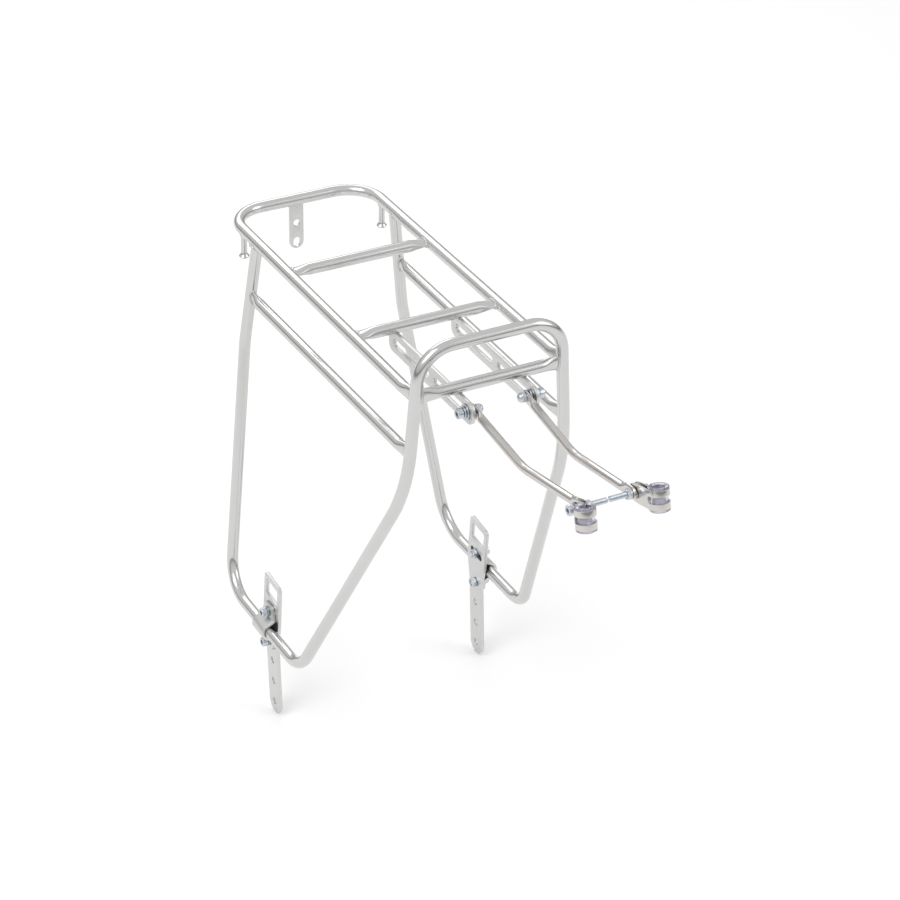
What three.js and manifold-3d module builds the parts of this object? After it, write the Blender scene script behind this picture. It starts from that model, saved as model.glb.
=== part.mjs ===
// Bicycle rear rack: a tubular steel carrier with adjustable front stays, rubber-lined
// seat-stay clamps and sliding dropout plates. Millimetres, +Z up, the bicycle faces -Y and
// its left side is +X. The origin is midway between the two lowest dropout eyelets.
import * as THREE from "three";
import Module from "manifold-3d";
import { mergeVertices } from "three/addons/utils/BufferGeometryUtils.js";

const wasm = await Module();
wasm.setup();

// ---- driving dimensions ------------------------------------------------------------------
// Deck frame: y = 0 and z = 0 at the centre of the front crossbar, y grows to the rear.
const TUBE_R = 5;
const GAP = 0.3;
const TUBE_SIDES = 20;

const RAIL_X = 65;
const DECK_REAR_Y = 347;
const DECK_CORNER_R = 31;
const REAR_CROSSBAR_Y = 226;
const MIDDLE_CROSSBAR_Y = 106;
const LOWER_RAIL_Z = -50.5;

const LEG_TOP = [64, 288, 0];
const REAR_KNEE = [75, 294, -94];
const HEEL = [107, 265, -317];
const TOE = [107, 123, -317];
const FRONT_KNEE = [70, 2, -82];
const HOOP_CORNER = [61.5, 0, 39];
const REAR_KNEE_R = 60;
const HEEL_R = 35;
const TOE_R = 32;
const FRONT_KNEE_R = 150;
const HOOP_R = 30;

const SLOT_PLATE_X = 28;
const SLOT_PLATE_THICK = 3;
const SLOT_PLATE_REAR_Y = 114;
const SLOT_PLATE_FRONT_Y = -26.5;
const SLOT_PLATE_TOP_Z = -3;
const SLOT_PLATE_BOTTOM_Z = -22;
const SLOT_Z = -12.5;
const SLOT_HEIGHT = 7;
const SLOT_END_MARGIN = 8;
const SLOT_WEB_Y = 41;

const SLOT_BOLT_Y = -16.4;
const STAY_R = 3.5;
const STAY_BEND = [-92, -23];
const CLAMP_BOLT = [-177.8, -8.8];
const STAY_REAR_X = 23;
const STAY_FRONT_X = 20.8;
const STAY_FLAT_THICK = 2.8;
const STAY_FLAT_R = 5.3;

const SLEEVE_BORE_R = 5;
const BAND_INNER_R = 7;
const BAND_THICK = 1.1;
const BAND_HEIGHT = 15.4;
const CLAMP_ARM = 21;
const CLAMP_TILT = THREE.MathUtils.degToRad(13);
const CLAMP_LOOP_X = 30.6;

const PLATE_INNER_X = 98.5;
const PLATE_THICK = 3;
const PLATE_KNEE_Y = 194;
const PLATE_UPPER_TILT = THREE.MathUtils.degToRad(6);
const PLATE_LOWER_TILT = THREE.MathUtils.degToRad(4);
const PLATE_UPPER_LENGTH = 48;
const PLATE_UPPER_WIDTH = 30;
const PLATE_LOWER_WIDTH = 21;
const SADDLE_BOLT_OFFSET = 15.3;
const EYELET_PITCH = 21;
const EYELET_COUNT = 4;
const EYELET_R = 3.1;

// Lowest eyelet, measured from the knee of the dropout plate down its lower axis.
const LOWEST_EYELET = SADDLE_BOLT_OFFSET + (EYELET_COUNT - 1) * EYELET_PITCH;
const ORIGIN_Y = PLATE_KNEE_Y - LOWEST_EYELET * Math.sin(PLATE_LOWER_TILT);
const ORIGIN_Z = HEEL[2] - LOWEST_EYELET * Math.cos(PLATE_LOWER_TILT);

// ---- materials ---------------------------------------------------------------------------
const steel = (color, roughness, metalness = 1) =>
  new THREE.MeshStandardMaterial({ color, roughness, metalness });
const FINISH = {
  tube: () => steel(0xd4d4d2, 0.16),
  plate: () => steel(0xcfcfcd, 0.4),
  stay: () => steel(0xb9b4ae, 0.3),
  zinc: () => steel(0xb4bec4, 0.28),
  vinyl: () => new THREE.MeshStandardMaterial({
    color: 0xc9c4dc, roughness: 0.2, metalness: 0, transparent: true, opacity: 0.55,
  }),
};

// ---- solids ------------------------------------------------------------------------------
function toSolid(geometry) {
  const bare = geometry.clone();
  bare.deleteAttribute("normal");
  bare.deleteAttribute("uv");
  const merged = mergeVertices(bare, 1e-4);
  return new wasm.Manifold(new wasm.Mesh({
    numProp: 3,
    vertProperties: new Float32Array(merged.attributes.position.array),
    triVerts: new Uint32Array(merged.index.array),
  }));
}

function toGeometry(solid) {
  const mesh = solid.getMesh();
  const geometry = new THREE.BufferGeometry();
  geometry.setAttribute("position", new THREE.BufferAttribute(mesh.vertProperties, 3));
  geometry.setIndex(new THREE.BufferAttribute(mesh.triVerts, 1));
  return geometry;
}

const cut = (geometry, ...cutters) =>
  toGeometry(cutters.reduce((solid, cutter) => solid.subtract(toSolid(cutter)), toSolid(geometry)));
const join = (geometry, other) => toGeometry(toSolid(geometry).add(toSolid(other)));
const common = (geometry, other) => toGeometry(toSolid(geometry).intersect(toSolid(other)));

function mirrored(geometry) {
  const flipped = geometry.clone().applyMatrix4(new THREE.Matrix4().makeScale(-1, 1, 1));
  const merged = toSolidReady(flipped);
  const index = merged.index.array;
  for (let i = 0; i < index.length; i += 3) {
    const swap = index[i + 1];
    index[i + 1] = index[i + 2];
    index[i + 2] = swap;
  }
  return merged;
}

function toSolidReady(geometry) {
  const bare = geometry.clone();
  bare.deleteAttribute("normal");
  bare.deleteAttribute("uv");
  return mergeVertices(bare, 1e-4);
}

// ---- bent tube and rod -------------------------------------------------------------------
// A path of straight runs joined by arcs. Its stations lie only where a section is needed.
class BentPath extends THREE.Curve {
  constructor(corners, { arcStep = THREE.MathUtils.degToRad(11), extra = [] } = {}) {
    super();
    this.stations = [];
    const points = corners.map((corner) => new THREE.Vector3(...corner.at));
    const last = points.length - 1;
    this.addStation(points[0], points[1].clone().sub(points[0]));
    for (let i = 1; i < last; i++) {
      this.addArc(points[i - 1], points[i], points[i + 1], corners[i].radius, arcStep);
    }
    this.addStation(points[last], points[last].clone().sub(points[last - 1]));
    extra.forEach(({ fromStart, distance }) => this.insertStation(fromStart, distance));
  }

  addStation(point, tangent) {
    this.stations.push({ point: point.clone(), tangent: tangent.clone().normalize() });
  }

  addArc(before, corner, after, radius, arcStep) {
    const back = before.clone().sub(corner).normalize();
    const ahead = after.clone().sub(corner).normalize();
    const half = back.angleTo(ahead) / 2;
    const middle = back.clone().add(ahead).normalize();
    const centre = corner.clone().addScaledVector(middle, radius / Math.sin(half));
    const turn = Math.PI - 2 * half;
    const axis = back.clone().negate().cross(ahead).normalize();
    const spoke = corner.clone().addScaledVector(back, radius / Math.tan(half)).sub(centre);
    const steps = Math.max(2, Math.ceil(turn / arcStep));
    for (let i = 0; i <= steps; i++) {
      const angle = (turn * i) / steps;
      const point = centre.clone().add(spoke.clone().applyAxisAngle(axis, angle));
      this.addStation(point, back.clone().negate().applyAxisAngle(axis, angle));
    }
  }

  // Adds a station on the first or last straight run, at a distance from that end.
  insertStation(fromStart, distance) {
    const end = fromStart ? this.stations[0] : this.stations[this.stations.length - 1];
    const sign = fromStart ? 1 : -1;
    const point = end.point.clone().addScaledVector(end.tangent, sign * distance);
    this.stations.push({ point, tangent: end.tangent.clone(), order: { fromStart, distance } });
    const placed = this.stations.pop();
    let at = fromStart ? 1 : this.stations.length - 1;
    const further = (station) => station.order
      && station.order.fromStart === fromStart && station.order.distance < distance;
    while (further(this.stations[fromStart ? at : at - 1])) {
      at += fromStart ? 1 : -1;
    }
    this.stations.splice(at, 0, placed);
  }

  stationAt(u) {
    return this.stations[Math.round(u * (this.stations.length - 1))];
  }

  getPointAt(u, target = new THREE.Vector3()) {
    return target.copy(this.stationAt(u).point);
  }

  getTangentAt(u, target = new THREE.Vector3()) {
    return target.copy(this.stationAt(u).tangent);
  }
}

function sweep(path, radius, sides = TUBE_SIDES) {
  const section = new THREE.Shape();
  for (let i = 0; i < sides; i++) {
    const angle = (2 * Math.PI * i) / sides;
    const point = [radius * Math.cos(angle), radius * Math.sin(angle)];
    if (i === 0) section.moveTo(...point);
    else section.lineTo(...point);
  }
  section.closePath();
  return new THREE.ExtrudeGeometry(section, {
    steps: path.stations.length - 1,
    extrudePath: path,
    bevelEnabled: false,
  });
}

const straight = (from, to, radius, sides = TUBE_SIDES, extra = []) =>
  sweep(new BentPath([{ at: from }, { at: to }], { extra }), radius, sides);

const smoothstep = THREE.MathUtils.smoothstep;

// Presses the ends of a straight bar flat, as a tube end is squeezed before it is welded.
const PINCH_LENGTH = 15;
const PINCH_THIN = 0.56;
const PINCH_WIDE = 1.28;
function pinchEnds(geometry, along, thin, wide, centre, low, high) {
  const position = geometry.attributes.position;
  for (let i = 0; i < position.count; i++) {
    const t = position.getComponent(i, along);
    const inward = Math.min(t - low, high - t);
    const squeeze = 1 - smoothstep(inward, 2, PINCH_LENGTH);
    const thinAt = position.getComponent(i, thin) - centre[thin];
    const wideAt = position.getComponent(i, wide) - centre[wide];
    const thinScale = THREE.MathUtils.lerp(1, PINCH_THIN, squeeze);
    const wideScale = THREE.MathUtils.lerp(1, PINCH_WIDE, squeeze);
    position.setComponent(i, thin, centre[thin] + thinAt * thinScale);
    position.setComponent(i, wide, centre[wide] + wideAt * wideScale);
  }
  return geometry;
}
const pinchStations = [3, 6, 9, 12, 15, 18].flatMap((distance) => [
  { fromStart: true, distance: TUBE_R + distance },
  { fromStart: false, distance: TUBE_R + distance },
]);

const X = 0;
const Y = 1;
const Z = 2;
const mirrorPoint = ([x, y, z], side) => [x * side, y, z];
const between = (a, b, z) => {
  const t = (z - a[Z]) / (b[Z] - a[Z]);
  return a.map((value, i) => value + t * (b[i] - value));
};

// ---- the welded frame --------------------------------------------------------------------
function legHoopTube() {
  const side = (sign) => [
    { at: mirrorPoint(LEG_TOP, sign) },
    { at: mirrorPoint(REAR_KNEE, sign), radius: REAR_KNEE_R },
    { at: mirrorPoint(HEEL, sign), radius: HEEL_R },
    { at: mirrorPoint(TOE, sign), radius: TOE_R },
    { at: mirrorPoint(FRONT_KNEE, sign), radius: FRONT_KNEE_R },
    { at: mirrorPoint(HOOP_CORNER, sign), radius: HOOP_R },
  ];
  const tube = sweep(new BentPath([...side(-1), ...side(1).reverse()]), TUBE_R);
  return cut(tube, railCutter(-1, LEG_TOP[Y]), railCutter(1, LEG_TOP[Y]));
}

// A stretch of rail, fatter by the gap, that shapes the end of a piece welded to the rail.
function railCutter(side, y) {
  return straight([side * RAIL_X, y - 20, 0], [side * RAIL_X, y + 20, 0], TUBE_R + GAP);
}

const FRONT_LEG_AT_DECK = between(FRONT_KNEE, HOOP_CORNER, 0);
const frontLegCutter = (side) => straight(
  mirrorPoint(between(FRONT_KNEE, HOOP_CORNER, -24), side),
  mirrorPoint(between(FRONT_KNEE, HOOP_CORNER, 24), side), TUBE_R + GAP);

function platformLoop() {
  const front = FRONT_LEG_AT_DECK[Y];
  const path = new BentPath([
    { at: [-RAIL_X, front, 0] },
    { at: [-RAIL_X, DECK_REAR_Y, 0], radius: DECK_CORNER_R },
    { at: [RAIL_X, DECK_REAR_Y, 0], radius: DECK_CORNER_R },
    { at: [RAIL_X, front, 0] },
  ], { extra: pinchStations });
  const tube = sweep(path, TUBE_R);
  const position = tube.attributes.position;
  for (let i = 0; i < position.count; i++) {
    const squeeze = 1 - smoothstep(position.getY(i) - front - TUBE_R, 2, PINCH_LENGTH);
    const x = position.getX(i);
    const axis = Math.sign(x) * RAIL_X;
    position.setX(i, axis + (x - axis) * THREE.MathUtils.lerp(1, PINCH_THIN, squeeze));
    position.setZ(i, position.getZ(i) * THREE.MathUtils.lerp(1, PINCH_WIDE, squeeze));
  }
  return cut(tube, frontLegCutter(-1), frontLegCutter(1));
}

function deckCrossbar(y) {
  const bar = straight([-RAIL_X, y, 0], [RAIL_X, y, 0], TUBE_R, TUBE_SIDES, pinchStations);
  const low = -RAIL_X + TUBE_R;
  pinchEnds(bar, X, Z, Y, [0, y, 0], low, -low);
  return cut(bar, railCutter(-1, y), railCutter(1, y));
}

function frontCrossbar() {
  const [x, y] = FRONT_LEG_AT_DECK;
  const bar = straight([-x, y, 0], [x, y, 0], TUBE_R, TUBE_SIDES, pinchStations);
  pinchEnds(bar, X, Y, Z, [0, y, 0], -x + TUBE_R, x - TUBE_R);
  return cut(bar, frontLegCutter(-1), frontLegCutter(1));
}

function lowerRail() {
  const rear = between(LEG_TOP, REAR_KNEE, LOWER_RAIL_Z);
  const front = between(FRONT_KNEE, HOOP_CORNER, LOWER_RAIL_Z);
  const bar = straight(front, rear, TUBE_R, TUBE_SIDES, pinchStations);
  const centre = [(front[X] + rear[X]) / 2, 0, LOWER_RAIL_Z];
  pinchEnds(bar, Y, X, Z, centre, front[Y] + TUBE_R, rear[Y] - TUBE_R);
  const rearLeg = straight(between(LEG_TOP, REAR_KNEE, -20), between(LEG_TOP, REAR_KNEE, -75),
    TUBE_R + GAP);
  const kneePath = new BentPath([
    { at: TOE },
    { at: FRONT_KNEE, radius: FRONT_KNEE_R },
    { at: HOOP_CORNER },
  ]);
  return cut(bar, rearLeg, sweep(kneePath, TUBE_R + GAP));
}

// ---- flat plates -------------------------------------------------------------------------
// A shape drawn in (y, z), given a thickness along X.
function plateYZ(shape, x, thickness, curveSegments = 6) {
  const geometry = new THREE.ExtrudeGeometry(shape, {
    depth: thickness, bevelEnabled: false, curveSegments,
  });
  const toYZ = new THREE.Matrix4().makeBasis(
    new THREE.Vector3(0, 1, 0), new THREE.Vector3(0, 0, 1), new THREE.Vector3(1, 0, 0));
  return geometry.applyMatrix4(toYZ).translate(x, 0, 0);
}

// A closed outline whose corners are rounded, each {at: [a, b], radius}.
function roundedShape(corners, ShapeClass = THREE.Shape) {
  const shape = new ShapeClass();
  const count = corners.length;
  corners.forEach(({ at, radius = 0 }, i) => {
    const corner = new THREE.Vector2(...at);
    const back = new THREE.Vector2(...corners[(i + count - 1) % count].at).sub(corner);
    const ahead = new THREE.Vector2(...corners[(i + 1) % count].at).sub(corner);
    const start = corner.clone().addScaledVector(back.normalize(), radius);
    const end = corner.clone().addScaledVector(ahead.normalize(), radius);
    if (i === 0) shape.moveTo(start.x, start.y);
    else shape.lineTo(start.x, start.y);
    if (radius > 0) shape.quadraticCurveTo(corner.x, corner.y, end.x, end.y);
  });
  shape.closePath();
  return shape;
}

// A hole with round ends, from one end centre to the other.
function slotHole(from, to, radius) {
  const path = new THREE.Path();
  const angle = Math.atan2(to[1] - from[1], to[0] - from[0]);
  path.absarc(to[0], to[1], radius, angle - Math.PI / 2, angle + Math.PI / 2, false);
  path.absarc(from[0], from[1], radius, angle + Math.PI / 2, angle + 1.5 * Math.PI, false);
  path.closePath();
  return path;
}

function roundHole(centre, radius) {
  const path = new THREE.Path();
  path.absarc(centre[0], centre[1], radius, 0, 2 * Math.PI, false);
  return path;
}

function crossbarCutter(y) {
  return straight([0, y, 0], [60, y, 0], TUBE_R + GAP);
}

function slottedPlate() {
  const shape = roundedShape([
    { at: [SLOT_PLATE_FRONT_Y, SLOT_PLATE_BOTTOM_Z], radius: 9.4 },
    { at: [SLOT_PLATE_REAR_Y, SLOT_PLATE_BOTTOM_Z], radius: 8 },
    { at: [SLOT_PLATE_REAR_Y, SLOT_PLATE_TOP_Z], radius: 3 },
    { at: [SLOT_PLATE_FRONT_Y, SLOT_PLATE_TOP_Z], radius: 9.4 },
  ]);
  const r = SLOT_HEIGHT / 2;
  const inset = SLOT_END_MARGIN + r;
  const webInset = SLOT_END_MARGIN / 2 + r;
  shape.holes.push(
    slotHole([SLOT_BOLT_Y - 0.1, SLOT_Z], [SLOT_WEB_Y - webInset, SLOT_Z], r),
    slotHole([SLOT_WEB_Y + webInset, SLOT_Z], [SLOT_PLATE_REAR_Y - inset, SLOT_Z], r));
  const plate = plateYZ(shape, SLOT_PLATE_X - SLOT_PLATE_THICK / 2, SLOT_PLATE_THICK);
  return cut(plate, crossbarCutter(MIDDLE_CROSSBAR_Y), crossbarCutter(FRONT_LEG_AT_DECK[Y]));
}

const BRACKET_WIDTH = 13;
const BRACKET_THICK = 2.5;
const BRACKET_BOTTOM_Z = -47.5;
const BRACKET_HOLE_Z = -23;
const BRACKET_OVAL_Z = -41.5;
function lightBracket() {
  const half = BRACKET_WIDTH / 2;
  const shape = new THREE.Shape();
  shape.moveTo(half, 0);
  shape.lineTo(-half, 0);
  shape.lineTo(-half, BRACKET_BOTTOM_Z + half);
  shape.absarc(0, BRACKET_BOTTOM_Z + half, half, Math.PI, 2 * Math.PI, false);
  shape.closePath();
  shape.holes.push(roundHole([0, BRACKET_HOLE_Z], 3),
    slotHole([0, BRACKET_OVAL_Z - 1.2], [0, BRACKET_OVAL_Z + 1.2], 3.2));
  const plate = new THREE.ExtrudeGeometry(shape, {
    depth: BRACKET_THICK, bevelEnabled: false, curveSegments: 8,
  });
  plate.rotateX(Math.PI / 2).translate(0, DECK_REAR_Y + 2 + BRACKET_THICK / 2, 0);
  const bar = straight([-20, DECK_REAR_Y, 0], [20, DECK_REAR_Y, 0], TUBE_R + GAP);
  return cut(plate, bar);
}

const PEG_Y = 314;
const PEG_BOTTOM_Z = -25.5;
function peg() {
  const profile = [[0, PEG_BOTTOM_Z], [4, PEG_BOTTOM_Z], [4.4, PEG_BOTTOM_Z + 0.6],
    [4.4, PEG_BOTTOM_Z + 1.8], [2.8, PEG_BOTTOM_Z + 4], [2.6, PEG_BOTTOM_Z + 6],
    [2.6, -2], [0, -2]];
  const stem = new THREE.LatheGeometry(profile.map(([r, z]) => new THREE.Vector2(r, z)), 16);
  stem.rotateX(Math.PI / 2).translate(RAIL_X, PEG_Y, 0);
  return cut(stem, railCutter(1, PEG_Y));
}

// ---- fasteners, each along +X with its seat at x = 0 ------------------------------------
const FASTENER_SIDES = 18;
function turned(profile, sides = FASTENER_SIDES) {
  const points = profile.map(([r, x]) => new THREE.Vector2(r, x));
  return new THREE.LatheGeometry(points, sides).rotateZ(-Math.PI / 2);
}

// The head stands on +X of the seat and the shank runs to -X.
function capBolt({ shankR, length, headR, headHeight, keyR, keyDepth }) {
  const body = turned([
    [0, -length], [shankR - 0.5, -length], [shankR, -length + 0.6], [shankR, 0],
    [headR, 0], [headR, headHeight - 0.5], [headR - 0.5, headHeight], [0, headHeight],
  ]);
  const key = new THREE.CylinderGeometry(keyR, keyR, keyDepth * 2, 6);
  key.rotateZ(-Math.PI / 2).translate(headHeight, 0, 0);
  return cut(body, key);
}

function washer(boreR, outerR, thickness) {
  return turned([
    [boreR, 0], [outerR, 0], [outerR, thickness], [boreR, thickness], [boreR, 0],
  ]);
}

function hexNut(boreR, acrossFlats, height) {
  const cornerR = acrossFlats / Math.sqrt(3);
  const body = new THREE.CylinderGeometry(cornerR, cornerR, height, 6);
  body.rotateZ(-Math.PI / 2).translate(height / 2, 0, 0);
  const chamfer = turned([
    [0, 0], [cornerR - 0.6, 0], [cornerR, 0.5], [cornerR, height - 0.5],
    [cornerR - 0.6, height], [0, height],
  ]);
  const bore = turned([[0, -1], [boreR, -1], [boreR, height + 1], [0, height + 1]]);
  return cut(common(body, chamfer), bore);
}

// A closed nut with a dome, its open side at x = 0.
function domeNut(boreR, acrossFlats, hexHeight, domeR, height) {
  const cornerR = acrossFlats / Math.sqrt(3);
  const hex = new THREE.CylinderGeometry(cornerR, cornerR, hexHeight, 6);
  hex.rotateZ(-Math.PI / 2).translate(hexHeight / 2, 0, 0);
  const dome = turned([
    [0, 0.2], [domeR, 0.2], [domeR, hexHeight],
    ...[15, 30, 45, 60, 75].map((degrees) => {
      const angle = THREE.MathUtils.degToRad(degrees);
      return [domeR * Math.cos(angle), hexHeight + (height - hexHeight) * Math.sin(angle)];
    }),
    [0, height],
  ]);
  const bore = turned([[0, -1], [boreR, -1], [boreR, hexHeight], [0, hexHeight + 0.8]]);
  return cut(join(hex, dome), bore);
}

// ---- stays -------------------------------------------------------------------------------
function stay() {
  const rear = new THREE.Vector3(STAY_REAR_X, SLOT_BOLT_Y, SLOT_Z);
  const bend = new THREE.Vector3((STAY_REAR_X + STAY_FRONT_X) / 2, ...STAY_BEND);
  const front = new THREE.Vector3(STAY_FRONT_X, ...CLAMP_BOLT);
  const beyond = (end) => end.clone().sub(bend).setLength(end.distanceTo(bend) + STAY_FLAT_R);
  const endStations = [0.4, 1.2, 2.6, 4, 5.3, 8, 11, 14, 17, 20];
  const path = new BentPath([
    { at: bend.clone().add(beyond(rear)).toArray() },
    { at: bend.toArray(), radius: 60 },
    { at: bend.clone().add(beyond(front)).toArray() },
  ], { extra: endStations.flatMap((distance) => [
    { fromStart: true, distance }, { fromStart: false, distance },
  ]) });
  const rod = sweep(path, STAY_R, 16);
  flattenEnd(rod, rear, bend);
  flattenEnd(rod, front, bend);
  const eye = (centre, radius) => straight(
    [centre.x - 6, centre.y, centre.z], [centre.x + 6, centre.y, centre.z], radius, 16);
  return cut(rod, eye(rear, 2.8), eye(front, 2.8));
}

// Presses the end of a rod into a round-ended flat eye about a bolt centre.
function flattenEnd(geometry, centre, towards) {
  const along = towards.clone().sub(centre).normalize();
  const across = new THREE.Vector3(0, -along.z, along.y).normalize();
  const side = new THREE.Vector3().crossVectors(along, across);
  const position = geometry.attributes.position;
  const point = new THREE.Vector3();
  for (let i = 0; i < position.count; i++) {
    point.fromBufferAttribute(position, i).sub(centre);
    const t = point.dot(along);
    if (t > 25) continue;
    const squeeze = 1 - smoothstep(t, 7, 14.5);
    const roundEnd = t < 0 ? Math.sqrt(Math.max(0.02, 1 - (t / STAY_FLAT_R) ** 2)) : 1;
    const flat = STAY_FLAT_THICK / 2 / STAY_R;
    const thin = THREE.MathUtils.lerp(1, flat, squeeze);
    const wide = THREE.MathUtils.lerp(1, STAY_FLAT_R / STAY_R, squeeze) * roundEnd;
    let s = point.dot(side);
    const limit = STAY_R * thin;
    // The press leaves two flat faces, so the round section is squared off towards them.
    s = THREE.MathUtils.clamp(s * THREE.MathUtils.lerp(1, 1.35, squeeze) * thin, -limit, limit);
    const w = point.dot(across) * wide;
    point.copy(centre).addScaledVector(along, t).addScaledVector(across, w)
      .addScaledVector(side, s);
    position.setXYZ(i, point.x, point.y, point.z);
  }
}

// ---- seat-stay clamp ---------------------------------------------------------------------
// Local frame: x sideways, y along the arm from the loop to the bolt, z up the loop's axis,
// with the loop's centre at the origin. The inner ear is a tangent of the loop.
function clampBand() {
  const outer = BAND_INNER_R + BAND_THICK;
  const tip = CLAMP_ARM + 6.5;
  const earFar = -3.4;
  const earNear = earFar - BAND_THICK;
  const outerStart = Math.asin(earFar / outer);
  const innerStart = Math.asin(earNear / BAND_INNER_R);
  const shape = new THREE.Shape();
  // Drawn in (x, y): polar angle 0 points along +X here, so swap the arguments.
  const ring = (r, from, to, steps) => {
    for (let i = 0; i <= steps; i++) {
      const angle = from + ((to - from) * i) / steps;
      shape.lineTo(r * Math.sin(angle), r * Math.cos(angle));
    }
  };
  shape.moveTo(earFar, tip);
  ring(outer, outerStart, 1.5 * Math.PI, 26);
  shape.lineTo(-outer, tip);
  shape.lineTo(-BAND_INNER_R, tip);
  ring(BAND_INNER_R, 1.5 * Math.PI, innerStart, 26);
  shape.lineTo(earNear, tip);
  shape.closePath();
  const strip = new THREE.ExtrudeGeometry(shape, { depth: BAND_HEIGHT, bevelEnabled: false });
  strip.translate(0, 0, -BAND_HEIGHT / 2);
  const half = BAND_HEIGHT / 2;
  const side = roundedShape([
    { at: [-12, -half] },
    { at: [9, -half], radius: 2 },
    { at: [tip, -6.4], radius: 5 },
    { at: [tip, 6.4], radius: 5 },
    { at: [9, half], radius: 2 },
    { at: [-12, half] },
  ]);
  const profile = plateYZ(side, -20, 40);
  const window = new THREE.BoxGeometry(40, 13, 5.4).translate(0, -3.5, 0);
  const earWindow = new THREE.BoxGeometry(3, 12, 5.4).translate(-outer, 3.4, 0);
  const hole = new THREE.CylinderGeometry(2.8, 2.8, 40, 16).rotateZ(Math.PI / 2);
  hole.translate(0, CLAMP_ARM, 0);
  return cut(common(strip, profile), window, earWindow, hole);
}

const SLEEVE_LIP_R = 8;
const SLEEVE_LIP = 1.4;
function clampSleeve() {
  const wall = BAND_INNER_R - GAP;
  const seat = BAND_HEIGHT / 2 + GAP;
  const end = seat + SLEEVE_LIP;
  const profile = [
    [SLEEVE_BORE_R, -end], [SLEEVE_LIP_R - 0.4, -end], [SLEEVE_LIP_R, -end + 0.4],
    [SLEEVE_LIP_R, -seat], [wall, -seat], [wall, seat], [SLEEVE_LIP_R, seat],
    [SLEEVE_LIP_R, end - 0.4], [SLEEVE_LIP_R - 0.4, end], [SLEEVE_BORE_R, end],
    [SLEEVE_BORE_R, -end],
  ];
  const ring = new THREE.LatheGeometry(profile.map(([r, z]) => new THREE.Vector2(r, z)), 28);
  ring.rotateX(Math.PI / 2);
  // The slit that lets the sleeve open is on the side of the ears.
  const slit = new THREE.BoxGeometry(1.6, 12, 40).translate(-3.6, 7, 0);
  return cut(ring, slit);
}

// ---- dropout plate and its saddle --------------------------------------------------------
// Points on the plate: distance up (+) or down (-) its axis from the knee, offset forward (-).
function onPlate(distance, offset) {
  const tilt = distance >= 0 ? PLATE_UPPER_TILT : -PLATE_LOWER_TILT;
  const y = PLATE_KNEE_Y - distance * Math.sin(tilt) + offset * Math.cos(tilt);
  const z = HEEL[2] + distance * Math.cos(tilt) + offset * Math.sin(tilt);
  return [y, z];
}

function dropoutPlate() {
  const wide = PLATE_UPPER_WIDTH / 2;
  const narrow = PLATE_LOWER_WIDTH / 2;
  const end = -LOWEST_EYELET - narrow;
  const shape = roundedShape([
    { at: onPlate(PLATE_UPPER_LENGTH, -wide), radius: 5 },
    { at: onPlate(PLATE_UPPER_LENGTH, wide), radius: 4 },
    { at: onPlate(6, wide), radius: 8 },
    { at: onPlate(-16, narrow), radius: 8 },
    { at: onPlate(end, narrow), radius: narrow * 0.98 },
    { at: onPlate(end, -narrow), radius: narrow * 0.98 },
    { at: onPlate(-14, -narrow), radius: 8 },
    { at: onPlate(4, -wide), radius: 5 },
  ]);
  shape.holes.push(roundedShape([
    { at: onPlate(27.5, -10.6), radius: 2 },
    { at: onPlate(27.5, 10.6), radius: 2 },
    { at: onPlate(43.3, 10.6), radius: 2 },
    { at: onPlate(43.3, -10.6), radius: 2 },
  ], THREE.Path));
  shape.holes.push(slotHole(onPlate(SADDLE_BOLT_OFFSET, -7), onPlate(SADDLE_BOLT_OFFSET, 7),
    EYELET_R));
  for (let i = 0; i < EYELET_COUNT; i++) {
    shape.holes.push(roundHole(onPlate(-SADDLE_BOLT_OFFSET - i * EYELET_PITCH, 0), EYELET_R));
  }
  return plateYZ(shape, PLATE_INNER_X, PLATE_THICK, 7);
}

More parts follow.
